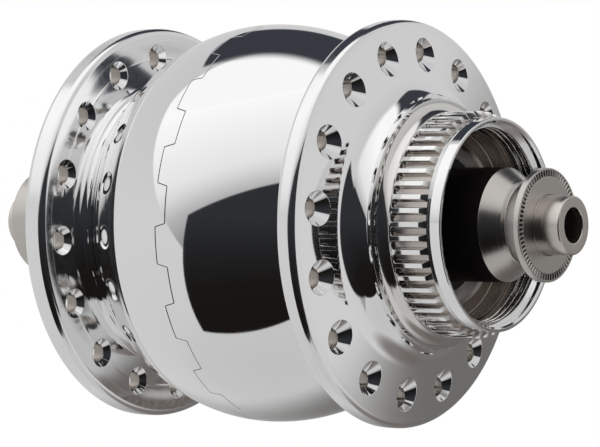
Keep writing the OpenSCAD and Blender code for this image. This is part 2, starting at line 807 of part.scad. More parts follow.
module left_end_cap() {
    r = cap_d / 2;
    bevel = 0.35;
    rotate([0, 0, 180]) end_cap([
        [0, cap_y], [r, cap_y], [r, fork_y - bevel], [r - bevel, fork_y]]);
}

module right_spacer_sleeve() {
    step = 0.8;
    color(black) difference() {
        union() {
            rod(brg_right, cap_y, inner_land_r - race_step);
            rod(brg_right + step, cap_y, sleeve_d / 2);
        }
        rod(0, fork_y, brg_bore / 2);
    }
}

module right_end_cap() {
    r = cap_d / 2;
    nr = cap_neck_d / 2;
    bevel = 0.15;
    back = 0.8;
    step = 0.4;
    tip_y0 = cap_y + cone_len;
    rim_y = fork_y - disc_edge;
    end_cap([
        [0, cap_y], [cone_d / 2, cap_y], [cone_tip_d / 2, tip_y0], [nr, tip_y0 + step],
        [nr, rim_y - back], [r - 1.3, rim_y - back], [r, rim_y],
        [r, fork_y - bevel], [r - bevel, fork_y]]);
}

axle();
stator_key();
stator_core();
left_claw_pole();
right_claw_pole();
coil_bobbin();
coil_winding();
left_stator_nut();
right_stator_nut();
lead_wires();
left_inner_race();
right_inner_race();
left_spacer_sleeve();
left_dust_cap();
connector_housing();
connector_terminals();
left_end_cap();
right_spacer_sleeve();
right_end_cap();
left_shell();
right_shell();
shell_joint_ring();
flux_ring();
rotor_magnets();
left_outer_race();
right_outer_race();
left_bearing_seals();
right_bearing_seals();
preload_wave_spring();
left_bearing_cage();
left_bearing_balls();
right_bearing_cage();
right_bearing_balls();
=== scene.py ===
"""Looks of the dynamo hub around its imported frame: fine shells and axle ends, and the studio."""

import json
import math

import bpy
import numpy as np
from mathutils import Matrix, Vector


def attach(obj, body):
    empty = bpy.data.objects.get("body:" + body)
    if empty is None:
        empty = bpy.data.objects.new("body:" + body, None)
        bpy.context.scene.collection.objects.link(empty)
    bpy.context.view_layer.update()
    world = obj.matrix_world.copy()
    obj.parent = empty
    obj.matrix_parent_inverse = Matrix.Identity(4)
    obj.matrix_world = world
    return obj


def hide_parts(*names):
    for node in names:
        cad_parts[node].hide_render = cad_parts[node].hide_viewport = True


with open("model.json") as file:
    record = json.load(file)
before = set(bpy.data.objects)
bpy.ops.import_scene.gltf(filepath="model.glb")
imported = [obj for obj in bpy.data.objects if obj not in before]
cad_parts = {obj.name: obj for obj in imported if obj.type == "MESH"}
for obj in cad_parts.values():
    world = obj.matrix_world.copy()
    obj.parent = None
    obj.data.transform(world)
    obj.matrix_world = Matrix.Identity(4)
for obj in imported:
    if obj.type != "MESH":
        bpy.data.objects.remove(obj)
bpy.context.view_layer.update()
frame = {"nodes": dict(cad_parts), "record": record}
SCENE = bpy.context.scene
TAU = 2 * math.pi

# Sizes in millimetres, as in the part's source. A place along the axis is counted from the middle
# of the fork, and the brake side is the positive one.

# Flanges: outer faces, lean of the brake-side face in degrees, and edge roundings
FLANGE_R, FLANGE_T = 31.9, 4.0
FACE_RIGHT, FACE_LEFT, DISH = 25.8, 27.4, 9.0
ROUND_OUT, ROUND_IN = 1.1, 1.0

# Spoke holes: number on a flange, turn in degrees, circle, countersinks, and the band they lie in
HOLES, TURN, PCD_R = 16, 6.2, 27.0
SPOKE_R, SINK_OUT, SINK_IN = 1.4, 2.6, 2.3
BAND_IN, BAND_OUT, HOLLOW_END_R = 23.9, 30.2, 24.56

# Ball, and the hollows between it and the flanges
BALL_R, BALL_LEFT_R, BALL_Y = 31.9, 27.5, -0.3
FILLET_RIGHT, FILLET_LEFT = 1.2, 1.3

# Castellated joint: its two levels, the tips' share of the pitch, and the spigot behind it
SEAM_LO, SEAM_HI, SEAM_TIP, SEAM_CORNER = -0.775, 1.075, 0.459, 0.16
SPIGOT_R, SPIGOT_END, CAVITY_R = 29.62, 4.475, 27.42

# Brake boss, outside
SEAT_R, SEAT_Y, SEAT_FILLET, SEAT_LIP = 19.45, 30.6, 4.0, 0.35
RELIEF_R, RELIEF_FILLET = 17.1, 1.8
SPLINES, SPLINE_R, ROOT_R, SPLINE_0, SPLINE_1 = 52, 17.5, 16.6, 32.5, 38.7
UNDERCUT_R, COLLAR_R, COLLAR_Y, MOUTH_Y = 16.15, 16.5, 39.2, 41.1

# Brake boss, inside
MOUTH_R, MOUTH_CHAMFER = 15.7, 0.3
THREAD_R, CREST_R, THREAD_0, THREAD_1, GROOVE_Y = 15.5, 15.0, 36.6, 39.6, 35.3
BOSS_BORE_R, BOSS_FLOOR_Y, BOSS_CHAMFER = 14.8, 32.6, 0.45

# Bearing seats, and the webs between them and the generator
BEARING_R, SHOULDER_R = 13.0, 12.2
SEAT_RIGHT, SEAT_LEFT = (23.2, 31.2), (24.8, 33.7)
WEB_RIGHT, WEB_LEFT, LEFT_END, LEFT_BOSS_R = 19.0, 20.6, 34.4, 16.0

# Axle ends
FORK_Y, TIP_Y, STUB_R, SKEWER_R = 50.0, 54.4, 4.5, 2.7
NOTCHES, NOTCH_LEN, NOTCH_DEPTH, NOTCH_INSET = 72, 1.1, 0.3, 0.08
# Corners as (place along the axis, radius, rounding), drawn for the brake side
RIGHT_CAP = [(46.0, 5.0, 0), (42.7, 5.0, 0), (42.7, 8.9, 0.12), (45.5, 6.65, 0.2), (45.9, 6.2, 0.15),
             (48.2, 6.2, 0.15), (48.2, 7.4, 0.1), (49.0, 8.7, 0.12), (FORK_Y, 8.7, 0.14), (FORK_Y, 8.5, 0)]
LEFT_CAP = [(46.0, 5.0, 0), (42.7, 5.0, 0), (42.7, 8.7, 0.12), (FORK_Y, 8.7, 0.3), (FORK_Y, 8.35, 0)]
STUB_END = [(FORK_Y, STUB_R + 0.2, 0), (FORK_Y, STUB_R, 0.1), (TIP_Y, STUB_R, 0.22),
            (TIP_Y, SKEWER_R, 0.15), (46.0, SKEWER_R, 0)]

# Columns round the axis
ARC_STEPS, SIDE_STEPS = 48, 12
FLANGE_COLS, BORE_COLS, CAP_COLS = HOLES * ARC_STEPS, 480, 288
SPLINE_COLS, NOTCH_COLS = SPLINES * 32, NOTCHES * 16


# Shader nodes

def feed(tree, socket, value):
    """Links another node's output to a socket, or sets the socket to a value."""
    if isinstance(value, bpy.types.NodeSocket):
        tree.links.new(value, socket)
    elif value is not None:
        socket.default_value = value


def calc(tree, operation, a, b=None, clamp=False):
    node = tree.nodes.new("ShaderNodeMath")
    node.operation = operation
    node.use_clamp = clamp
    feed(tree, node.inputs[0], a)
    feed(tree, node.inputs[1], b)
    return node.outputs[0]


def vector(tree, operation, a, b=None):
    node = tree.nodes.new("ShaderNodeVectorMath")
    node.operation = operation
    feed(tree, node.inputs[0], a)
    feed(tree, node.inputs[1], b)
    return node.outputs


def object_place(tree):
    return tree.nodes.new("ShaderNodeTexCoord").outputs["Object"]


def parts_of(tree, value):
    """The x, y and z of a vector, as outputs by name."""
    node = tree.nodes.new("ShaderNodeSeparateXYZ")
    feed(tree, node.inputs[0], value)
    return node.outputs


def noise(tree, place, scale, detail):
    node = tree.nodes.new("ShaderNodeTexNoise")
    for key, value in (("Vector", place), ("Scale", scale), ("Detail", detail)):
        feed(tree, node.inputs[key], value)
    return node.outputs["Fac"]


def grain(tree, scale, stretch=(1, 1, 1), detail=4.0):
    """A noise over the object's own coordinates, which a stretch draws out along an axis."""
    mapping = tree.nodes.new("ShaderNodeMapping")
    feed(tree, mapping.inputs["Vector"], object_place(tree))
    feed(tree, mapping.inputs["Scale"], stretch)
    return noise(tree, mapping.outputs["Vector"], scale, detail)


def far_from_axis(tree):
    """Distance from the hub axis, in metres."""
    flat = vector(tree, "MULTIPLY", object_place(tree), (1, 0, 1))
    return vector(tree, "LENGTH", flat[0])["Value"]


def turned_grain(tree, marks, around_scale, detail=3.0):
    """Noise drawn out along the turning marks: it varies with y and radius, and slowly with angle."""
    place = parts_of(tree, object_place(tree))
    angle = calc(tree, "ARCTAN2", place["X"], place["Z"])
    join = tree.nodes.new("ShaderNodeCombineXYZ")
    for key, value, factor in (("X", far_from_axis(tree), marks), ("Y", place["Y"], marks),
                               ("Z", angle, around_scale)):
        feed(tree, join.inputs[key], calc(tree, "MULTIPLY", value, factor))
    return noise(tree, join.outputs[0], 1.0, detail)


def spread(tree, value, low, high, start=0.3, end=0.7, smooth=False):
    """Takes a value between start and end to one between low and high."""
    node = tree.nodes.new("ShaderNodeMapRange")
    if smooth:
        node.interpolation_type = "SMOOTHSTEP"
    for key, v in (("Value", value), ("From Min", start), ("From Max", end),
                   ("To Min", low), ("To Max", high)):
        feed(tree, node.inputs[key], v)
    return node.outputs["Result"]


def mix(tree, low, high, share):
    """Between low and high, each a colour or an output."""
    node = tree.nodes.new("ShaderNodeMix")
    node.data_type = "RGBA"
    for key, value in (("A", low), ("B", high), ("Factor", share)):
        feed(tree, node.inputs[key], (*value, 1) if isinstance(value, tuple) else value)
    return node.outputs["Result"]


def ramp(tree, value, stops, interpolation="LINEAR"):
    """Colours along a value from 0 to 1; stops are (value, colour)."""
    node = tree.nodes.new("ShaderNodeValToRGB")
    node.color_ramp.interpolation = interpolation
    elements = node.color_ramp.elements
    for k, (at, colour) in enumerate(stops):
        element = elements[k] if k < len(elements) else elements.new(0.5)
        element.position = at
        element.color = (*colour, 1)
    feed(tree, node.inputs["Fac"], value)
    return node.outputs["Color"]


# Materials

def new_material(name, metallic=1.0, roughness=0.5):
    material = bpy.data.materials.new(name)
    material.use_nodes = True
    tree = material.node_tree
    shader = tree.nodes["Principled BSDF"]
    shader.inputs["Metallic"].default_value = metallic
    shader.inputs["Roughness"].default_value = roughness
    return material, tree, shader


def tint(tree, shader, value, low, high):
    feed(tree, shader.inputs["Base Color"], mix(tree, low, high, value))


def gloss(tree, shader, value, rough):
    feed(tree, shader.inputs["Roughness"], spread(tree, value, *rough))


def bump(tree, shader, value, distance, strength):
    node = tree.nodes.new("ShaderNodeBump")
    for key, v in (("Height", value), ("Distance", distance), ("Strength", strength)):
        feed(tree, node.inputs[key], v)
    feed(tree, shader.inputs["Normal"], node.outputs["Normal"])


def cloudy(name, dark, light, rough):
    """Smooth metal with faint, wide changes of colour and fine ones of gloss."""
    material, tree, shader = new_material(name)
    tint(tree, shader, grain(tree, 60), dark, light)
    gloss(tree, shader, grain(tree, 900, detail=3), rough)
    return material, tree, shader


def satin():
    """Satin metal with fine steps left by turning, between two radii near the spoke circle."""
    steps_from, steps_to = 0.0256, 0.0296
    material, tree, shader = cloudy("satin_aluminium", (0.895, 0.897, 0.900), (0.920, 0.918, 0.914),
                                    (0.09, 0.14))
    heights = [(0.0, 0.0), (0.27, 0.0), (0.36, 0.25), (0.45, 0.0), (0.62, 0.0), (1.0, 0.9)]
    radius = spread(tree, far_from_axis(tree), 0, 1, steps_from, steps_to)
    steps = ramp(tree, radius, [(at, (height,) * 3) for at, height in heights], "EASE")
    bump(tree, shader, steps, 0.0001, 0.6)
    return material


def spline_metal():
    """Bright tooth crests over duller grooves, whose darker colour is painted shade."""
    material, tree, shader = new_material("milled_aluminium_painted_groove_shade")
    crest = spread(tree, far_from_axis(tree), 0, 1, (ROOT_R + 0.2) / 1000, (SPLINE_R - 0.1) / 1000)
    # Painted shade: the grooves get a darker colour than the crests, with a random tone over it.
    groove = mix(tree, (0.42, 0.38, 0.35), (0.62, 0.58, 0.55), grain(tree, 900, (1, 0.2, 1)))
    tint(tree, shader, crest, groove, (0.93, 0.93, 0.92))
    feed(tree, shader.inputs["Roughness"], spread(tree, crest, 0.15, 0.06, 0, 1))
    return material


def turned(name, dark, light, rough, marks, around_scale, detail=3.0, relief=None):
    """Turned metal; relief is the marks' (depth in metres, strength)."""
    material, tree, shader = new_material(name)
    lines = turned_grain(tree, marks, around_scale, detail)
    tint(tree, shader, lines, dark, light)
    gloss(tree, shader, lines, rough)
    if relief:
        bump(tree, shader, lines, *relief)
    return material


def steel(name, dark, light, rough, marks):
    return turned(name, dark, light, rough, marks, 0.25, 2.0, (0.000003, 0.12))


def serrated():
    """Brushed steel with painted shade: its colour darkens in the notches below the face."""
    material, tree, shader = new_material("serrated_stainless_painted_shade")
    height = calc(tree, "ABSOLUTE", parts_of(tree, object_place(tree))["Y"])
    face = spread(tree, height, 0, 1, (FORK_Y - 0.24) / 1000, (FORK_Y - 0.06) / 1000)
    brushed = grain(tree, 1500)
    # Painted shade: the colour is near black below the face, in the notches.
    tint(tree, shader, face, (0.07, 0.06, 0.055), (0.57, 0.54, 0.51))
    gloss(tree, shader, brushed, (0.30, 0.37))
    bump(tree, shader, brushed, 0.000002, 0.1)
    return material


def coated(name, dark, light, rough, scale=1800, depth=0.00002, metallic=0.0, level=0.5):
    """A grainy finish; level is how much of the light a surface that isn't metal mirrors."""
    material, tree, shader = new_material(name, metallic)
    shader.inputs["Specular IOR Level"].default_value = level
    grains = grain(tree, scale)
    tint(tree, shader, grains, dark, light)
    gloss(tree, shader, grains, rough)
    bump(tree, shader, grains, depth, 0.4)
    return material


POLISHED = cloudy("polished_aluminium", (0.905, 0.907, 0.910), (0.925, 0.925, 0.922), (0.028, 0.052))[0]
SATIN = satin()
MILLED_WITH_PAINTED_GROOVE_SHADE = spline_metal()
# Painted shade: the spoke bores and the connector shell's inside get a dark brown colour for the shade
# inside them.
BORE_PAINTED_SHADE = turned("machined_aluminium_painted_shade", (0.36, 0.32, 0.29), (0.50, 0.46, 0.42), (0.22, 0.34), 2600, 1.2)
TURNED = turned("turned_aluminium", (0.74, 0.72, 0.69), (0.86, 0.85, 0.83), (0.07, 0.13), 1800, 0.6,
                relief=(0.00001, 0.3))
# Painted shade: the boss's inside gets a dark brown colour for the shade within it.
INSIDE_PAINTED_SHADE = turned("turned_boss_bore_painted_shade", (0.20, 0.17, 0.15), (0.40, 0.36, 0.33), (0.18, 0.30), 2200, 0.5)
STAINLESS = steel("satin_stainless", (0.57, 0.54, 0.51), (0.65, 0.62, 0.59), (0.20, 0.27), 2600)
STUB = steel("turned_stainless", (0.64, 0.60, 0.56), (0.75, 0.70, 0.66), (0.22, 0.28), 2400)
NOTCHED_PAINTED_SHADE = serrated()
LOOKS = {
    "polished_aluminium": POLISHED,
    "stainless_steel": STAINLESS,
    "bearing_steel": steel("ground_steel", (0.46, 0.46, 0.46), (0.60, 0.60, 0.60), (0.12, 0.2), 3000),
    "bearing_balls": coated("ball_steel", (0.60, 0.60, 0.61), (0.66, 0.66, 0.67), (0.05, 0.08),
                            600, 0.000002, 1.0),
    "stator_iron": coated("stator_iron", (0.20, 0.19, 0.18), (0.28, 0.27, 0.26), (0.35, 0.5),
                          900, 0.00003, 1.0),
    "magnet_black": coated("ferrite", (0.028, 0.028, 0.030), (0.045, 0.045, 0.048), (0.45, 0.6), 1400),
    "copper": coated("enamelled_copper", (0.56, 0.22, 0.09), (0.66, 0.29, 0.13), (0.2, 0.3),
                     900, 0.00001, 1.0),
    "terminal_brass": coated("brass", (0.72, 0.52, 0.24), (0.80, 0.61, 0.32), (0.18, 0.3),
                             1200, 0.00001, 1.0),
    "bobbin_plastic": coated("natural_nylon", (0.62, 0.58, 0.48), (0.68, 0.64, 0.55), (0.4, 0.5), 1000),
    "wire_insulation": coated("wire_sleeve", (0.05, 0.05, 0.055), (0.075, 0.075, 0.08), (0.4, 0.5), 1200),
    "black_plastic": coated("moulded_black", (0.018, 0.018, 0.019), (0.030, 0.030, 0.031), (0.36, 0.48),
                            2600, 0.00004),
    # The spacer sleeve is a real part. Its near-black colour is painted shade from inside the boss.
    "black_steel": coated("black_sleeve_painted_shade", (0.006, 0.004, 0.004), (0.010, 0.008, 0.008), (0.36, 0.46),
                          level=0.15),
    "seal_rubber": coated("seal_rubber", (0.014, 0.014, 0.015), (0.024, 0.024, 0.024), (0.55, 0.7),
                          2200, 0.00003),
}


# Meshes

class Sheets:
    """Grids of points with their own normals, joined into one mesh."""

    def __init__(self):
        self.points, self.normals, self.quads, self.slots, self.looks = [], [], [], [], []
        self.count = 0

    def grid(self, points, normals, look):
        """Adds quads between neighbouring rows; every row closes into a ring."""
        rows, cols = np.shape(points)[:2]
        points = np.asarray(points, float).reshape(-1, 3)
        normals = np.asarray(normals, float).reshape(-1, 3)
        here = np.arange(rows * cols).reshape(rows, cols)
        beside = np.roll(here, -1, 1)
        quads = np.stack([here[:-1], beside[:-1], beside[1:], here[1:]], -1).reshape(-1, 4)
        p = points[quads]
        face = np.cross(p[:, 2] - p[:, 0], p[:, 3] - p[:, 1])
        keep = np.linalg.norm(face, axis=1) > 1e-9
        quads, face = quads[keep], face[keep]
        flip = (face * normals[quads].sum(1)).sum(1) < 0
        quads[flip] = quads[flip][:, ::-1]
        if look not in self.looks:
            self.looks.append(look)
        self.points.append(points)
        self.normals.append(normals)
        self.quads.append(quads + self.count)
        self.slots.append(np.full(len(quads), self.looks.index(look), np.int32))
        self.count += rows * cols

    def build(self, name):
        """Makes the object, with points that coincide made one and every corner's own normal."""
        points, normals, quads, slots = (np.concatenate(a) for a in (self.points, self.normals,
                                                                     self.quads, self.slots))
        key = np.round(points * 1e4).astype(np.int64)
        _, first, merged = np.unique(key, axis=0, return_index=True, return_inverse=True)
        ids = merged.reshape(-1)[quads]
        faces, corners, face_slots = [], [], []
        for row, old, slot in zip(ids.tolist(), quads.tolist(), slots.tolist()):
            ring, back = [], []
            for a, b in zip(row, old):
                if a not in ring:
                    ring.append(a)
                    back.append(b)
            if len(ring) > 2:
                faces.append(ring)
                corners.extend(back)
                face_slots.append(slot)
        mesh = bpy.data.meshes.new(name)
        mesh.from_pydata((points[first] * 0.001).tolist(), [], faces)
        for look in self.looks:
            mesh.materials.append(look)
        mesh.polygons.foreach_set("material_index", face_slots)
        mesh.polygons.foreach_set("use_smooth", [True] * len(faces))
        mesh.update()
        mesh.normals_split_custom_set(normals[corners].tolist())
        piece = bpy.data.objects.new(name, mesh)
        SCENE.collection.objects.link(piece)
        return piece


def ring_angles(n, start=0.0):
    return start + np.arange(n) * TAU / n


def around(rows, phi):
    """Turns rows of (y, r, ny, nr) about the hub axis, at angles from +Z towards +X."""
    rows = np.asarray(rows, float)[:, None, :]
    s, c = np.sin(phi)[None, :], np.cos(phi)[None, :]
    y, r, ny, nr = (rows[..., k] for k in range(4))
    zero = np.zeros_like(s)
    return np.stack([r * s, y + zero, r * c], -1), np.stack([nr * s, ny + zero, nr * c], -1)


def rounded(path, steps=6):
    """Rows along straight lines between (y, r, radius) corners, each rounded by its radius.
    The outside lies to the left of the path's direction in the (y, r) plane."""
    points = [np.array(p[:2], float) for p in path]
    rows = []

    def heading(i):
        d = points[i + 1] - points[i]
        return d / np.linalg.norm(d)

    last = len(path) - 1
    for i, (point, corner) in enumerate(zip(points, path)):
        if i in (0, last):
            d = heading(min(i, last - 1))
            rows.append([*point, -d[1], d[0]])
            continue
        a, b = heading(i - 1), heading(i)
        cross = a[0] * b[1] - a[1] * b[0]
        turn = math.atan2(cross, float(a @ b))
        radius = corner[2]
        na, nb = np.array([-a[1], a[0]]), np.array([-b[1], b[0]])
        if radius <= 0 or abs(turn) < 1e-4:
            rows += [[*point, *na], [*point, *nb]]
            continue
        side = -1 if cross > 0 else 1
        centre = point - a * radius * math.tan(abs(turn) / 2) - side * radius * na
        count = max(2, round(steps * abs(turn) / (math.pi / 2)))
        for k in range(count + 1):
            c, s = math.cos(turn * k / count), math.sin(turn * k / count)
            normal = np.array([na[0] * c - na[1] * s, na[0] * s + na[1] * c])
            rows.append([*(centre + side * radius * normal), *normal])
    return rows


def lathe(sheets, path, phi, look, steps=6, side=1):
    """Turns a path; side -1 mirrors it to the connector side."""
    rows = np.array(rounded(path, steps)) * (side, 1, side, 1)
    sheets.grid(*around(rows, phi), look)


def slopes(value, angle, length):
    """How fast value(angle, length) changes with the angle, and with the length."""
    da, dl = 1e-4, 1e-3
    return ((value(angle + da, length) - value(angle - da, length)) / (2 * da),
            (value(angle, length + dl) - value(angle, length - dl)) / (2 * dl))


def unit(vectors):
    return vectors / np.linalg.norm(vectors, axis=-1, keepdims=True)


def field(sheets, radius, ys, phi, look, inside=False):
    """A turned surface whose radius varies with angle and place along the axis."""
    y, f = np.meshgrid(ys, phi, indexing="ij")
    r = radius(f, y)
    by_angle, by_y = slopes(radius, f, y)
    s, c = np.sin(f), np.cos(f)
    normals = unit(np.stack([s - by_angle / r * c, -by_y, c + by_angle / r * s], -1))
    sheets.grid(np.stack([r * s, y, r * c], -1), -normals if inside else normals, look)


def dial(sheets, height, radii, phi, side, look):
    """A face across the axis whose height varies with angle and radius."""
    r, f = np.meshgrid(radii, phi, indexing="ij")
    y = height(f, r)
    by_angle, by_r = slopes(height, f, r)
    by_arc = by_angle / r
    s, c = np.sin(f), np.cos(f)
    normals = unit(np.stack([-by_r * s - by_arc * c, np.ones_like(y), -by_r * c + by_arc * s], -1) * side)
    sheets.grid(np.stack([r * s, y, r * c], -1), normals, look)


# Flanges and ball

def hole_border(inner_r, outer_r):
    """Border of one hole's sector, as (r, angle from the hole) in order around it."""
    half = math.pi / HOLES
    a = np.linspace(-half, half, ARC_STEPS + 1)
    q = np.linspace(inner_r, outer_r, SIDE_STEPS + 1)
    r = np.concatenate([np.full(ARC_STEPS, inner_r), q[:-1], np.full(ARC_STEPS, outer_r), q[:0:-1]])
    f = np.concatenate([a[:-1], np.full(SIDE_STEPS, half), a[:0:-1], np.full(SIDE_STEPS, -half)])
    return r, f


def perforated(sheets, profile, flat_y, inward, start, sink_r, inner_r, look, hollow=False):
    """One face of a flange with its countersunk holes. profile gives (y, ny, nr) at a radius,
    and inward is the axial direction into the flange. A countersink widens where the face stands
    proud of flat_y, but not in a hollow. Returns the rings where each bore begins."""
    br, bf = hole_border(inner_r, BAND_OUT)
    bx, bz = br * np.sin(bf), br * np.cos(bf)
    theta = np.arctan2(bx, bz - PCD_R)
    st, ct = np.sin(theta), np.cos(theta)
    # Softened edges: outside and inside the countersink's rim, and round and along the bore's mouth
    lip, set_back, throat, throat_len = 0.07, 0.028, 0.06, 0.1
    slant = math.sqrt(0.5)
    rings, ring_normals = [], []

    def spot(out):
        """x and z at a distance from the hole's middle, towards each point of the border."""
        return out * st, PCD_R + out * ct

    def add(x, z, y, nx, ny, nz):
        rings.append(np.stack([x, y + 0 * x, z], -1))
        ring_normals.append(np.stack([nx + 0 * x, ny + 0 * x, nz + 0 * x], -1))

    edge = np.full_like(theta, sink_r)
    if not hollow:
        for _ in range(12):
            edge = sink_r + (flat_y - profile(np.hypot(*spot(edge)))[0]) * inward
    ex, ez = spot(edge + lip)
    for t in (1, 0.84, 0.68, 0.52, 0.38, 0.26, 0.16, 0.08, 0.03, 0):
        x, z = ex + (bx - ex) * t, ez + (bz - ez) * t
        r = np.hypot(x, z)
        y, ny, nr = profile(r)
        add(x, z, y, nr * x / r, ny, nr * z / r)
    face_rows = len(rings)
    lip_y = profile(np.hypot(*spot(edge)))[0]
    sink = (-slant * st, -slant * inward, -slant * ct)
    add(*spot(edge - set_back), lip_y + inward * set_back, *sink)
    floor = flat_y + inward * (sink_r - SPOKE_R - throat)
    add(*spot(SPOKE_R + throat), floor, *sink)
    add(*spot(SPOKE_R), floor + inward * throat_len, -st, 0, -ct)
    rings, ring_normals = np.array(rings), np.array(ring_normals)
    throats = []
    for i in range(HOLES):
        turn = math.radians(start) + i * TAU / HOLES
        c, s = math.cos(turn), math.sin(turn)
        spin = np.array([[c, 0, s], [0, 1, 0], [-s, 0, c]])
        p, n = rings @ spin.T, ring_normals @ spin.T
        sheets.grid(p[:face_rows + 1], n[:face_rows + 1], look)
        sheets.grid(p[face_rows:], n[face_rows:], POLISHED)
        throats.append((p[-1], n[-1]))
    return throats


def bores(sheets, one, other):
    for (p, n), (q, m) in zip(one, other):
        sheets.grid([p, q], [n, m], BORE_PAINTED_SHADE)


def seam_line(offset):
    """The castellated joint on the ball, moved sideways by offset: (angle, y), once round."""
    longest = 0.42
    circle = TAU * BALL_R / HOLES
    tip, root = circle * SEAM_TIP / 2, circle * (1 - SEAM_TIP) / 2
    rows = rounded([(-circle / 2, SEAM_LO, 0), (-root, SEAM_LO, SEAM_CORNER), (-tip, SEAM_HI, SEAM_CORNER),
                    (tip, SEAM_HI, SEAM_CORNER), (root, SEAM_LO, SEAM_CORNER), (circle / 2, SEAM_LO, 0)], 8)
    fine = []
    for a, b in zip(rows[:-1], rows[1:]):
        a, b = np.array(a), np.array(b)
        count = max(1, int(math.hypot(*(b - a)[:2]) / longest))
        fine += [a + (b - a) * k / count for k in range(count)]
    u, y, nu, ny = np.array(fine).T
    turn = math.radians(TURN) + TAU / HOLES * (np.arange(HOLES)[:, None] + 0.5)
    phi = (turn + ((u + offset * nu) / BALL_R)[None, :]).reshape(-1)
    return phi, np.tile(y + offset * ny, HOLES), np.tile(nu, HOLES), np.tile(ny, HOLES)


def ball_arc(y):
    """Radius of the ball's outline there, and its centre's distance from the hub axis."""
    arc_r = np.where(np.asarray(y) < BALL_Y, BALL_LEFT_R, BALL_R)
    return arc_r, BALL_R - arc_r


def ball_point(phi, y, depth=0.0):
    arc_r, middle = ball_arc(y)
    up = np.sqrt(arc_r ** 2 - (y - BALL_Y) ** 2)
    r = middle + up
    n = np.stack([up * np.sin(phi), y - BALL_Y, up * np.cos(phi)], -1) / arc_r[..., None]
    return np.stack([r * np.sin(phi), y, r * np.cos(phi)], -1) - n * depth, n


def ball_side(sheets, side, ys):
    """The ball from the joint line towards one side (1 is the brake side), with the joint's wall.
    ys are the places of its rows beyond the joint."""
    # Half the joint's gap, its edges' softening and how deep that is midway, and the wall's depth
    gap, ease, midway, wall = 0.045, 0.06, 0.0174, 1.6
    phi_w, y_w, nu, ny = seam_line(side * gap)
    phi_s, y_s, _, _ = seam_line(side * (gap + ease))
    into = np.stack([-side * nu * np.cos(phi_w), -side * ny, side * nu * np.sin(phi_w)], -1)
    rows, normals = [], []

    def add(point, normal):
        rows.append(point)
        normals.append(normal)

    for depth in (wall, ease):
        add(ball_point(phi_w, y_w, depth)[0], into)
    p, n = ball_point((phi_w + phi_s) / 2, (y_w + y_s) / 2, midway)
    add(p, unit(n + into))
    for t in (0, 0.2, 0.5, 0.8):
        add(*ball_point(phi_s, y_s + (ys[0] - y_s) * t))
    for y in ys:
        add(*ball_point(phi_s, np.full_like(phi_s, y)))
    sheets.grid(rows, normals, POLISHED)


def blend_centre(side, face, fillet):
    """Centre (y, r) of the hollow between the ball and a flange, and the ball's lean where it starts."""
    arc_r, middle = ball_arc(BALL_Y + side)
    y = face - side * fillet
    lean = math.asin(side * (y - BALL_Y) / (arc_r + fillet))
    return y, float(middle + (arc_r + fillet) * math.cos(lean)), lean


def blend(side, face, fillet, end_r):
    """Rows from the ball round the hollow, up to radius end_r on the flange."""
    cy, cr, lean = blend_centre(side, face, fillet)
    last = math.pi / 2 if end_r >= cr else math.acos((cr - end_r) / fillet)
    rows = [(cy + side * fillet * math.sin(t), cr - fillet * math.cos(t), -side * math.sin(t), math.cos(t))
            for t in np.linspace(-lean, last, 24)]
    return rows + ([(face, end_r, -side, 0.0)] if end_r > cr else [])


def hollow_face(side, face, fillet):
    """A flange's inner face that begins in the hollow."""
    cy, cr, _ = blend_centre(side, face, fillet)

    def profile(r):
        short = np.maximum(cr - r, 0)
        drop = np.sqrt(np.maximum(fillet ** 2 - short ** 2, 1e-6))
        return cy + side * drop, -side * drop / fillet, short / fillet

    return profile


def face_at(y, side, lean=0.0):
    """A flange face that looks to one side, and leans back towards its rim by some degrees."""
    lean = math.radians(lean)

    def profile(r):
        return (y - side * math.tan(lean) * (r - PCD_R), np.full_like(r, side * math.cos(lean)),
                np.full_like(r, math.sin(lean)))

    return profile


# The two shells

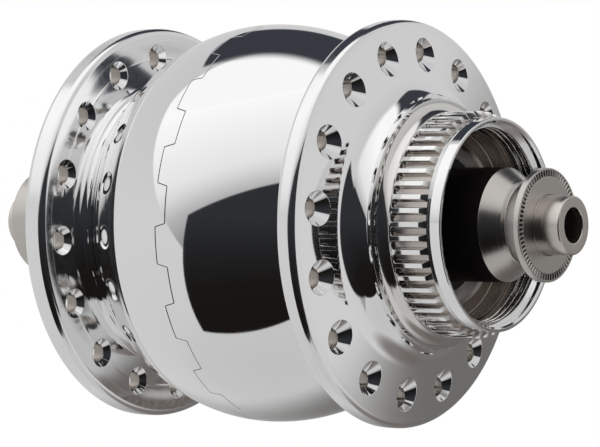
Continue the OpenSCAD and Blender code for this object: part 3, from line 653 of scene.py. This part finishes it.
def brake_boss(s, seat_outline):
    """The outside of the boss: rotor seat, splines, collar and the rim of its mouth."""
    first = math.radians(90)
    phi = ring_angles(SPLINE_COLS, first)
    lip_r = SEAT_R - SEAT_LIP
    lathe(s, [*seat_outline, (SEAT_Y, SEAT_R, 0.1), (SEAT_Y, lip_r, 0)],
          ring_angles(FLANGE_COLS, math.radians(TURN)), POLISHED, 24)
    lathe(s, [(SEAT_Y, lip_r, 0), (SEAT_Y, RELIEF_R, RELIEF_FILLET), (SPLINE_0, RELIEF_R, 0)],
          phi, TURNED, 16)
    pitch = TAU * (SPLINE_R + ROOT_R) / 2 / SPLINES
    height = SPLINE_R - ROOT_R
    # Shares of the pitch: half a groove's floor, a flank, and the middle of a groove's round end
    groove, flank, round_end = 0.21, 0.11, 0.34
    soft, run_in, run_out, overlap = 0.4, 0.35, 0.8, 0.02

    def teeth(angle, y):
        u = (angle - first) / TAU * SPLINES
        across = (0.5 - np.abs(u - np.round(u))) * pitch
        round_y = SPLINE_0 + round_end * pitch
        away = np.where(y < round_y, np.hypot(across, y - round_y), across)
        t = np.clip((away / pitch - groove) / flank, 0, 1)
        t = t * (1 - soft) + soft * t * t * (3 - 2 * t)
        top = np.minimum(SPLINE_R, RELIEF_R + (y - SPLINE_0) / run_in * (SPLINE_R - RELIEF_R))
        top = np.minimum(top, ROOT_R + (SPLINE_1 - y) / run_out * height + overlap)
        return np.minimum(top, ROOT_R + height * t)

    ys = [*np.linspace(SPLINE_0, SPLINE_0 + 1.7, 34), *np.linspace(SPLINE_0 + 2.1, SPLINE_1 - 1, 6),
          *np.linspace(SPLINE_1 - 0.85, SPLINE_1, 12)]
    field(s, teeth, ys, phi, MILLED_WITH_PAINTED_GROOVE_SHADE)
    lathe(s, [(SPLINE_1, ROOT_R, 0), (SPLINE_1, UNDERCUT_R, 0.05), (COLLAR_Y, UNDERCUT_R, 0.05),
              (COLLAR_Y, COLLAR_R, 0.1), (MOUTH_Y, COLLAR_R, 0.18),
              (MOUTH_Y, MOUTH_R + MOUTH_CHAMFER, 0.06), (MOUTH_Y - MOUTH_CHAMFER, MOUTH_R, 0.06),
              (THREAD_1, MOUTH_R, 0.05), (THREAD_1, CREST_R, 0)], phi, POLISHED, 4)


def boss_bore(s):
    """The inside: lockring thread, bearing seat, and the generator's hollow up to the joint."""
    phi = ring_angles(BORE_COLS)
    pitch, crest, flank, run_out = 1.0, 0.08, 0.22, 0.12

    def thread(angle, y):
        turns = (y - THREAD_0) / pitch - angle / TAU
        w = np.abs(turns - np.round(turns))
        depth = 1 - np.clip((w - crest) / flank, 0, 1)
        return CREST_R + (THREAD_R - CREST_R) * depth * np.clip((THREAD_1 - y) / run_out, 0, 1)

    field(s, thread, np.linspace(THREAD_1, THREAD_0, 76), phi, TURNED, inside=True)
    deep, out = SEAT_RIGHT
    lathe(s, [(THREAD_0, CREST_R, 0), (THREAD_0, THREAD_R, 0), (GROOVE_Y, THREAD_R, 0.1),
              (GROOVE_Y, BOSS_BORE_R, 0.08), (BOSS_FLOOR_Y, BOSS_BORE_R, 0.25),
              (BOSS_FLOOR_Y, SHOULDER_R + BOSS_CHAMFER, 0.05),
              (BOSS_FLOOR_Y - BOSS_CHAMFER, SHOULDER_R, 0.05),
              (out, SHOULDER_R, 0), (out, BEARING_R, 0), (deep, BEARING_R, 0), (deep, SHOULDER_R, 0),
              (WEB_RIGHT, SHOULDER_R, 0), (WEB_RIGHT, 21.5, 0), (8.4, CAVITY_R, 0), (6.0, CAVITY_R, 0),
              (6.0, SPIGOT_R, 0), (-0.8, SPIGOT_R, 0), (-0.8, 30.3, 0)], phi, INSIDE_PAINTED_SHADE, 5)


def make_right_shell():
    s = Sheets()
    cols = ring_angles(FLANGE_COLS, math.radians(TURN))
    inner_y = FACE_RIGHT - FLANGE_T
    rows = blend(1, inner_y, FILLET_RIGHT, HOLLOW_END_R)
    ball_side(s, 1, np.linspace(2.4, rows[0][0], 40))
    s.grid(*around(rows, cols), POLISHED)
    start = TURN + 180 / HOLES
    outer = face_at(FACE_RIGHT, 1, DISH)
    bores(s, perforated(s, hollow_face(1, inner_y, FILLET_RIGHT), inner_y, 1, start, SINK_IN,
                        HOLLOW_END_R, POLISHED, hollow=True),
          perforated(s, outer, FACE_RIGHT, -1, start, SINK_OUT, BAND_IN, POLISHED))
    rim_y, band_y, foot_y, seat_y = (float(outer(np.array(r))[0])
                                     for r in (FLANGE_R, BAND_OUT, BAND_IN, SEAT_R))
    lathe(s, [(inner_y, BAND_OUT, 0), (inner_y, FLANGE_R, ROUND_IN), (rim_y, FLANGE_R, ROUND_OUT),
              (band_y, BAND_OUT, 0)], cols, SATIN, 10)
    brake_boss(s, [(foot_y, BAND_IN, 0), (seat_y, SEAT_R, SEAT_FILLET)])
    boss_bore(s)
    return s.build("brake_side_shell")


def make_left_shell():
    s = Sheets()
    cols = ring_angles(FLANGE_COLS, math.radians(TURN) + math.pi / HOLES)
    inner_y = FLANGE_T - FACE_LEFT
    rows = blend(-1, inner_y, FILLET_LEFT, BAND_IN)
    ball_side(s, -1, np.linspace(-2.2, rows[0][0], 60))
    s.grid(*around(rows, cols), POLISHED)
    bores(s, perforated(s, face_at(inner_y, 1), inner_y, -1, TURN, SINK_IN, BAND_IN, SATIN),
          perforated(s, face_at(-FACE_LEFT, -1), -FACE_LEFT, 1, TURN, SINK_OUT, BAND_IN, POLISHED))
    lathe(s, [(-FACE_LEFT, BAND_OUT, 0), (-FACE_LEFT, FLANGE_R, ROUND_OUT), (inner_y, FLANGE_R, ROUND_IN),
              (inner_y, BAND_OUT, 0)], cols, SATIN, 10)
    lathe(s, [(-LEFT_END, SHOULDER_R, 0), (-LEFT_END, LEFT_BOSS_R, 0.15), (-FACE_LEFT, LEFT_BOSS_R, 2.0),
              (-FACE_LEFT, BAND_IN, 0)], cols, POLISHED, 8)
    phi = ring_angles(BORE_COLS)
    deep, out = SEAT_LEFT
    lathe(s, [(SPIGOT_END, CAVITY_R, 0), (-9.27, CAVITY_R, 0), (-15.0, 24.25, 0), (-WEB_LEFT, 18.46, 0),
              (-WEB_LEFT, SHOULDER_R, 0), (-deep, SHOULDER_R, 0), (-deep, BEARING_R, 0),
              (-out, BEARING_R, 0), (-out, SHOULDER_R, 0), (-LEFT_END, SHOULDER_R, 0)], phi, BORE_PAINTED_SHADE)
    lathe(s, [(-1.4, 30.6, 0), (-1.4, SPIGOT_R, 0), (SPIGOT_END, SPIGOT_R, 0), (SPIGOT_END, CAVITY_R, 0)],
          phi, BORE_PAINTED_SHADE)
    return s.build("connector_side_shell")


# The axle ends

def make_cap(name, side, outline):
    s = Sheets()
    cols = ring_angles(CAP_COLS)
    lathe(s, outline, cols, STAINLESS, 5, side)
    rim_r = outline[-1][1]
    end = rim_r - NOTCH_INSET
    start = end - NOTCH_LEN
    slope = 0.1      # length of a notch's sloping ends

    def height(angle, r):
        u = angle / TAU * NOTCHES
        u = np.abs(u - np.round(u)) * 2
        cut = np.clip(1.2 - u * 1.6, 0, 1)      # full over the middle eighth, none beyond three quarters
        cut *= np.clip((r - start) / slope, 0, 1) * np.clip((end - r) / slope, 0, 1)
        return side * (FORK_Y - NOTCH_DEPTH * cut)

    radii = [STUB_R + 0.1, *np.linspace(start - 0.05, start + 0.15, 5),
             *np.linspace(start + 0.25, end - 0.25, 4), *np.linspace(end - 0.14, end + 0.04, 5), rim_r]
    dial(s, height, radii, ring_angles(NOTCH_COLS), side, NOTCHED_PAINTED_SHADE)
    lathe(s, STUB_END, cols, STUB, 5, side)
    return s.build(name)


slots = {s["node"]: s.get("material_slot") for s in frame["record"]["subparts"]}
for node, piece in frame["nodes"].items():
    piece.data.materials.clear()
    piece.data.materials.append(LOOKS.get(slots.get(node), STAINLESS))

right = make_right_shell()
left = make_left_shell()
right_cap = make_cap("brake_side_axle_cap", 1, RIGHT_CAP)
left_cap = make_cap("connector_side_axle_cap", -1, LEFT_CAP)
for piece, body, node, slot in ((right, "hub_shell", "right_shell", "polished_aluminium"),
                                (left, "hub_shell", "left_shell", "polished_aluminium"),
                                (right_cap, "axle_assembly", "right_end_cap", "stainless_steel"),
                                (left_cap, "axle_assembly", "left_end_cap", "stainless_steel")):
    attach(piece, body)
    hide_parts(node)


# Studio: a colour for every direction, which the polished surfaces mirror. Directions are
# (azimuth, elevation) in degrees, and levels are the 8-bit ones that the metal then shows.

MIRROR = 0.915      # share of the light that the polished metal mirrors
HEADROOM = 1.2      # colours are kept below 1 by this factor, and raised again at the end

world = bpy.data.worlds.new("studio")
SCENE.world = world
world.use_nodes = True
SKY = world.node_tree
SKY.nodes.clear()
background = SKY.nodes.new("ShaderNodeBackground")
feed(SKY, SKY.nodes.new("ShaderNodeOutputWorld").inputs["Surface"], background.outputs[0])
RAY = SKY.nodes.new("ShaderNodeTexCoord").outputs["Generated"]


def direction(az, el):
    """Unit vector of a direction, as seen from the hub."""
    a, e = math.radians(az), math.radians(el)
    return Vector((math.sin(a) * math.cos(e), -math.cos(a) * math.cos(e), math.sin(e)))


def shade(level):
    """The colour behind a grey level, or behind a tuple of red, green and blue ones."""
    def linear(v):
        return v / 12.92 if v < 0.04045 else ((v + 0.055) / 1.055) ** 2.4

    levels = level if isinstance(level, tuple) else (level,) * 3
    return tuple(linear(c / 255) / MIRROR / HEADROOM for c in levels)


def along(axis):
    return vector(SKY, "DOT_PRODUCT", RAY, axis)["Value"]


def times(a, b):
    return calc(SKY, "MULTIPLY", a, b)


def beyond(p, q, soft):
    """1 on the left of the straight edge from direction p to direction q, and 0 on the right."""
    edge = direction(*p).cross(direction(*q)).normalized()
    return spread(SKY, along(edge), 0, 1, -soft, soft, smooth=True)


def toward(az, el, far, near):
    """Rises from 0 to 1 as the direction nears (az, el), between two angles in degrees."""
    start, end = math.cos(math.radians(far)), math.cos(math.radians(near))
    return spread(SKY, along(direction(az, el)), 0, 1, start, end, smooth=True)


def card(corners, softs):
    """1 inside the straight edges between corners, which run against the clock as seen from the
    hub. Every edge has its own softness."""
    edges = [beyond(p, q, soft) for p, q, soft in zip(corners, corners[1:] + corners[:1], softs)]
    inside = edges[0]
    for edge in edges[1:]:
        inside = times(inside, edge)
    return inside


def graded(value, low, high, stops):
    """Colours along a value from low to high; stops are (value, level or levels)."""
    share = calc(SKY, "DIVIDE", calc(SKY, "SUBTRACT", value, low), high - low, clamp=True)
    return ramp(SKY, share, [((at - low) / (high - low), shade(level)) for at, level in stops])


def height_above(value, factor=1.0):
    """Angle in degrees above a plane, from the direction's part across it."""
    return times(calc(SKY, "ARCSINE", value), factor * 180 / math.pi)


elevation = height_above(parts_of(SKY, RAY)["Z"])
wall = graded(elevation, -90, 90, [(-90, 190), (-56, 195), (-45, 200), (0, 205), (12, 220), (24, 226),
                                   (36, 216), (48, 196), (70, 192)])

# The softbox brightens upwards from a tilted plane. It ends at two edges, and towards the back
tilt = direction(60, 0).cross(direction(90, 13.5)).normalized()
light = graded(height_above(along(tilt), 1.09), -20, 70,
               [(-12, 150), (0, 178), (5, 196), (10, 212), (17, 227), (28, 240), (42, 247), (60, 250)])
softbox = times(beyond((10, 44), (50, 10), 0.01), beyond((-20, 60), (10, 44), 0.02))
softbox = times(softbox, calc(SKY, "SUBTRACT", 1.0, toward(-150, 5, 68, 52)))
dark = graded(elevation, -54, 25, [(-54, (23, 20, 18)), (-34, (25, 23, 21)), (-16, (33, 33, 35)),
                                   (4, (44, 46, 49))])

studio = wall
for colour, share in (
        (light, softbox),
        # Dim surroundings low on the connector side, and a dark strip under the softbox
        (shade((84, 82, 80)), times(toward(-84, -24, 46, 12), 0.85)),
        (shade((54, 57, 64)), card([(-118, 60), (-113, 40), (-76, 27), (-48, 28), (-15, 51), (-18, 58)],
                                   [0.03, 0.03, 0.03, 0.008, 0.03, 0.08])),
        # The two black cards that the ball and the brake-side flange mirror
        (dark, card([(72, 4), (50.5, -54), (140, -54), (140, 25)], [0.006, 0.012, 0.02, 0.01])),
        (dark, card([(138, 23), (138, -54), (181, -27), (191, -6), (186, 22)],
                    [0.01, 0.03, 0.04, 0.04, 0.02])),
        # The shaded floor behind the hub, seen in the lowest parts of the flange faces
        (shade((108, 106, 104)), toward(-112, -13, 26, 3)),
        (shade((88, 80, 75)), toward(-128.6, -4.6, 4.6, 1.6)),
        (shade((94, 88, 84)), toward(-122.6, -4.4, 3.6, 1.2)),
        (shade((104, 96, 92)), times(toward(-120, -46, 28, 9), 0.85))):
    studio = mix(SKY, studio, colour, share)

raised = SKY.nodes.new("ShaderNodeVectorMath")
raised.operation = "SCALE"
feed(SKY, raised.inputs[0], studio)
feed(SKY, raised.inputs["Scale"], HEADROOM)
seen = SKY.nodes.new("ShaderNodeLightPath").outputs["Is Camera Ray"]
feed(SKY, background.inputs["Color"], mix(SKY, raised.outputs[0], (1, 1, 1), seen))

# A pale floor well below the hub, which mirrored light passes through
FLOOR_SIDES, FLOOR_SIZE, FLOOR_LEVEL = 96, 1.2, -0.25
floor_mesh = bpy.data.meshes.new("floor")
floor_mesh.from_pydata([(FLOOR_SIZE * math.cos(a), FLOOR_SIZE * math.sin(a), FLOOR_LEVEL)
                        for a in ring_angles(FLOOR_SIDES)], [], [list(range(FLOOR_SIDES))])
floor = bpy.data.objects.new("floor", floor_mesh)
SCENE.collection.objects.link(floor)
paper, tree, shader = new_material("floor_paper", 0.0, 0.9)
tint(tree, shader, grain(tree, 30), (0.86, 0.86, 0.86), (0.88, 0.88, 0.88))
mirrored = tree.nodes.new("ShaderNodeLightPath").outputs["Is Glossy Ray"]
clear = tree.nodes.new("ShaderNodeBsdfTransparent").outputs[0]
veil = tree.nodes.new("ShaderNodeMixShader")
for socket, output in zip(veil.inputs, (mirrored, shader.outputs[0], clear)):
    feed(tree, socket, output)
feed(tree, tree.nodes["Material Output"].inputs["Surface"], veil.outputs[0])
floor.data.materials.append(paper)

SCENE.view_settings.view_transform = "Standard"

# The camera, at the place fitted to the photograph's rings
camera_data = bpy.data.cameras.new("camera")
camera = bpy.data.objects.new("camera", camera_data)
SCENE.collection.objects.link(camera)
camera_data.lens = 188.0965
camera_data.sensor_width = 36
camera_data.sensor_fit = "HORIZONTAL"
camera_data.clip_start = 0.01
camera_data.clip_end = 20
side_axis = Vector((-0.58459247, 0.81130887, 0.00543593))
back_axis = Vector((0.81132709, 0.58457935, 0.0039168))
view = Matrix((side_axis, back_axis.cross(side_axis), back_axis)).transposed().to_4x4()
view.translation = (0.40742839771, 0.29710136792, 0.00191501552)
camera.matrix_world = view
SCENE.camera = camera
